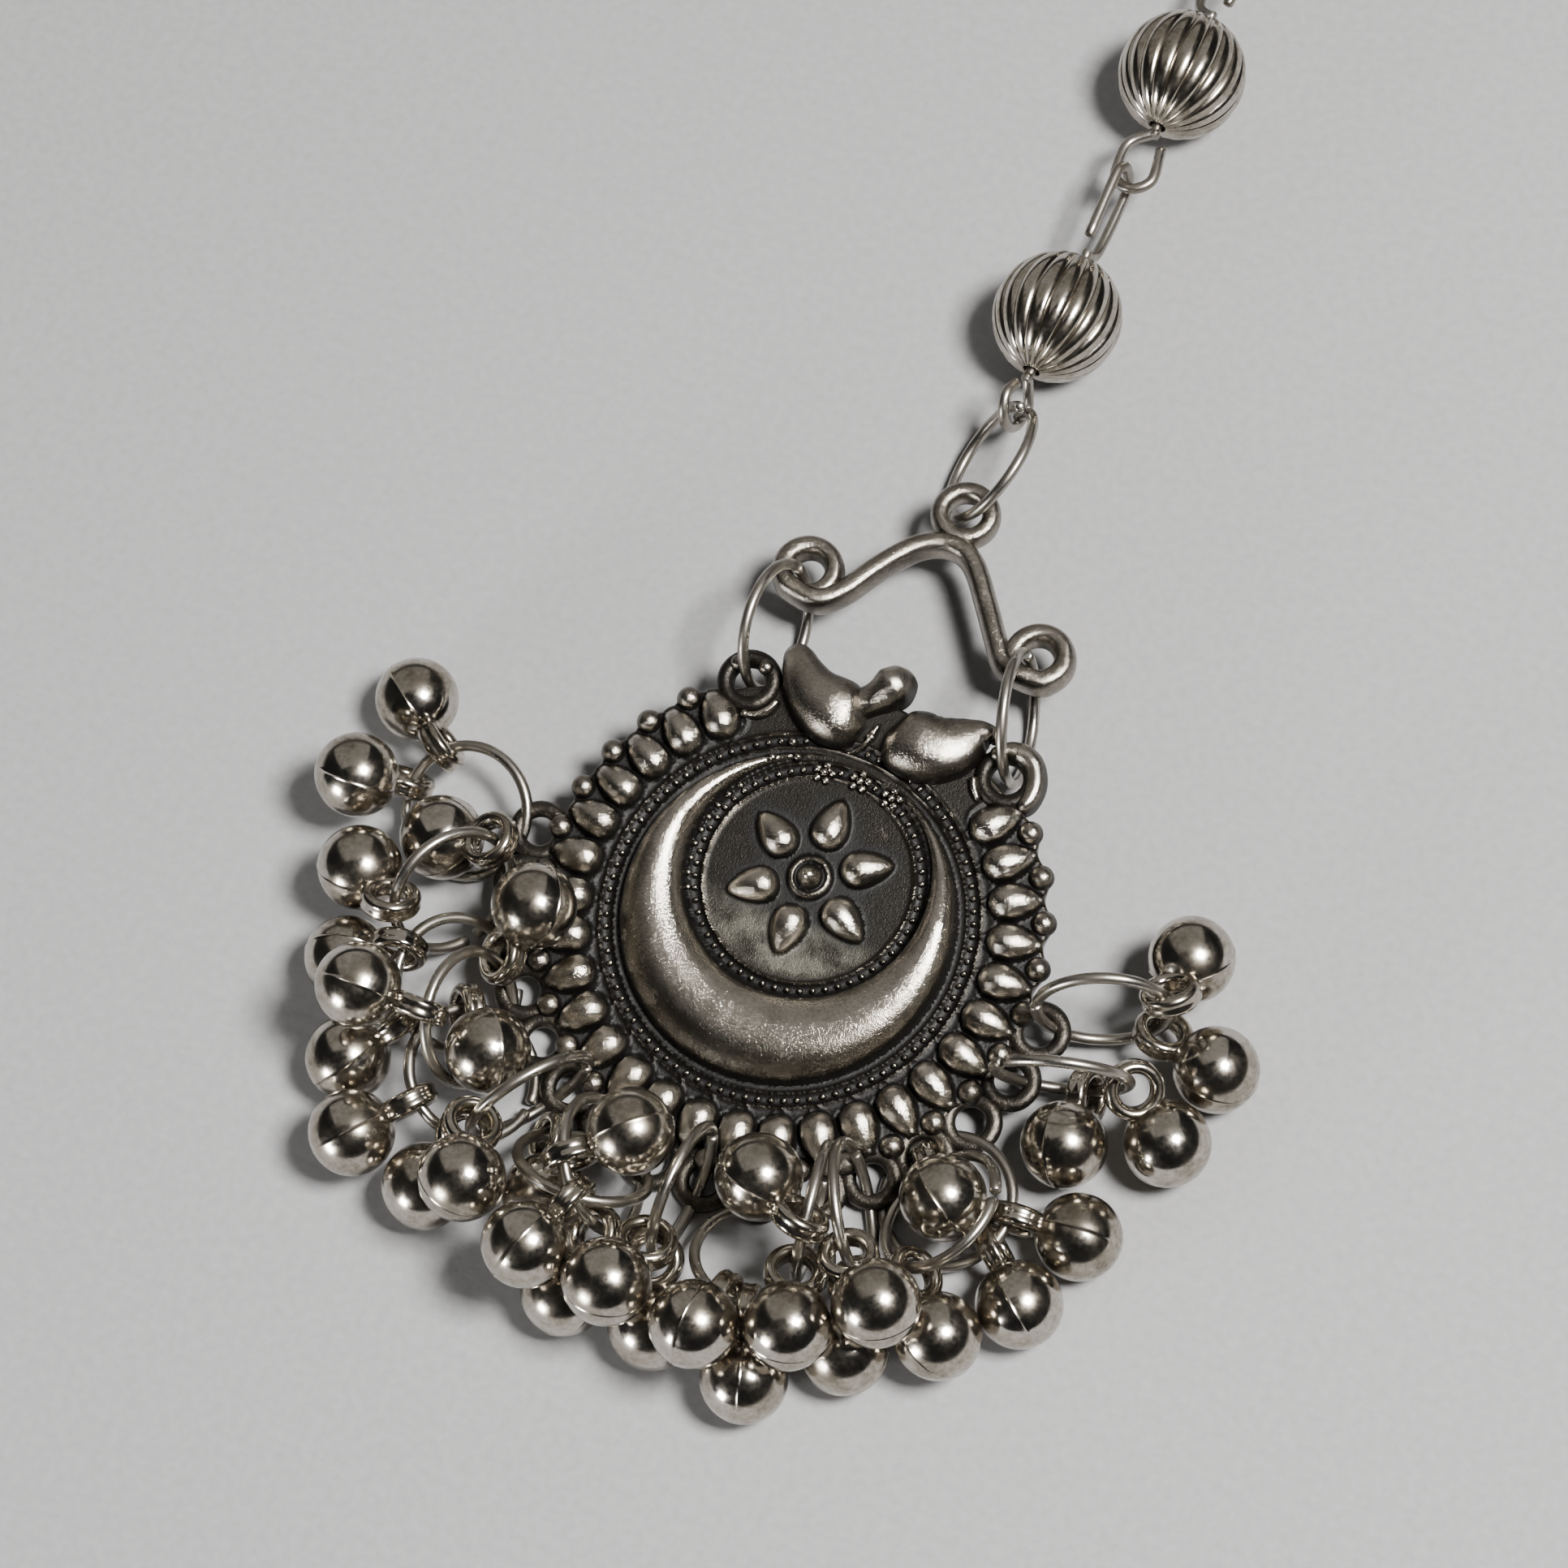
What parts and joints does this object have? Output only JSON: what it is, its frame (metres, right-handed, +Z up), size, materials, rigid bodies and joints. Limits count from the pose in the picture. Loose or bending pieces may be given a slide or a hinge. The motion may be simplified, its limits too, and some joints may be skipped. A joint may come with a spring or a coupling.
{
  "type": "maang tikka",
  "caption": "Oxidised silver maang tikka lying flat: crescent and flower medallion fringed with small bells on jump rings, wire hanger, ribbed beads and a hair hook.",
  "frame": {"origin": "middle of the underside of the bounding box, on the surface that it lies on", "axes": "+Y from the bells along the chain to the hair hook, +X across the medallion, +Z up from the surface"},
  "size_m": [0.0602, 0.1164, 0.011],
  "materials": {
    "oxidised_silver": "cast, antiqued, dark in the recesses",
    "bright_nickel": "polished with a warm tarnish",
    "silver_wire": "satin drawn wire"
  },
  "bodies": {
    "root": {"medallion": "oxidised_silver", "hanger": "oxidised_silver", "shoulder_ring_left": "silver_wire", "shoulder_ring_right": "silver_wire", "chain_link": "silver_wire", "melon_bead_1": "bright_nickel", "bead_wire_1": "silver_wire", "melon_bead_2": "bright_nickel", "bead_wire_2": "silver_wire", "hair_hook": "silver_wire", "bell_01": "bright_nickel", "bell_02": "bright_nickel", "bell_03": "bright_nickel", "bell_04": "bright_nickel", "bell_05": "bright_nickel", "bell_06": "bright_nickel", "bell_07": "bright_nickel", "bell_08": "bright_nickel", "bell_09": "bright_nickel", "bell_10": "bright_nickel", "bell_11": "bright_nickel", "bell_12": "bright_nickel", "bell_13": "bright_nickel", "bell_14": "bright_nickel", "bell_15": "bright_nickel", "bell_16": "bright_nickel", "bell_17": "bright_nickel", "bell_18": "bright_nickel", "bell_19": "bright_nickel", "bell_20": "bright_nickel", "bell_21": "bright_nickel", "bell_22": "bright_nickel", "bell_23": "bright_nickel", "bell_24": "bright_nickel", "bell_25": "bright_nickel", "bell_26": "bright_nickel", "bell_27": "bright_nickel", "bell_28": "bright_nickel", "bell_29": "bright_nickel", "bell_30": "bright_nickel", "bell_31": "bright_nickel", "bell_32": "bright_nickel"}
  },
  "joints": []
}
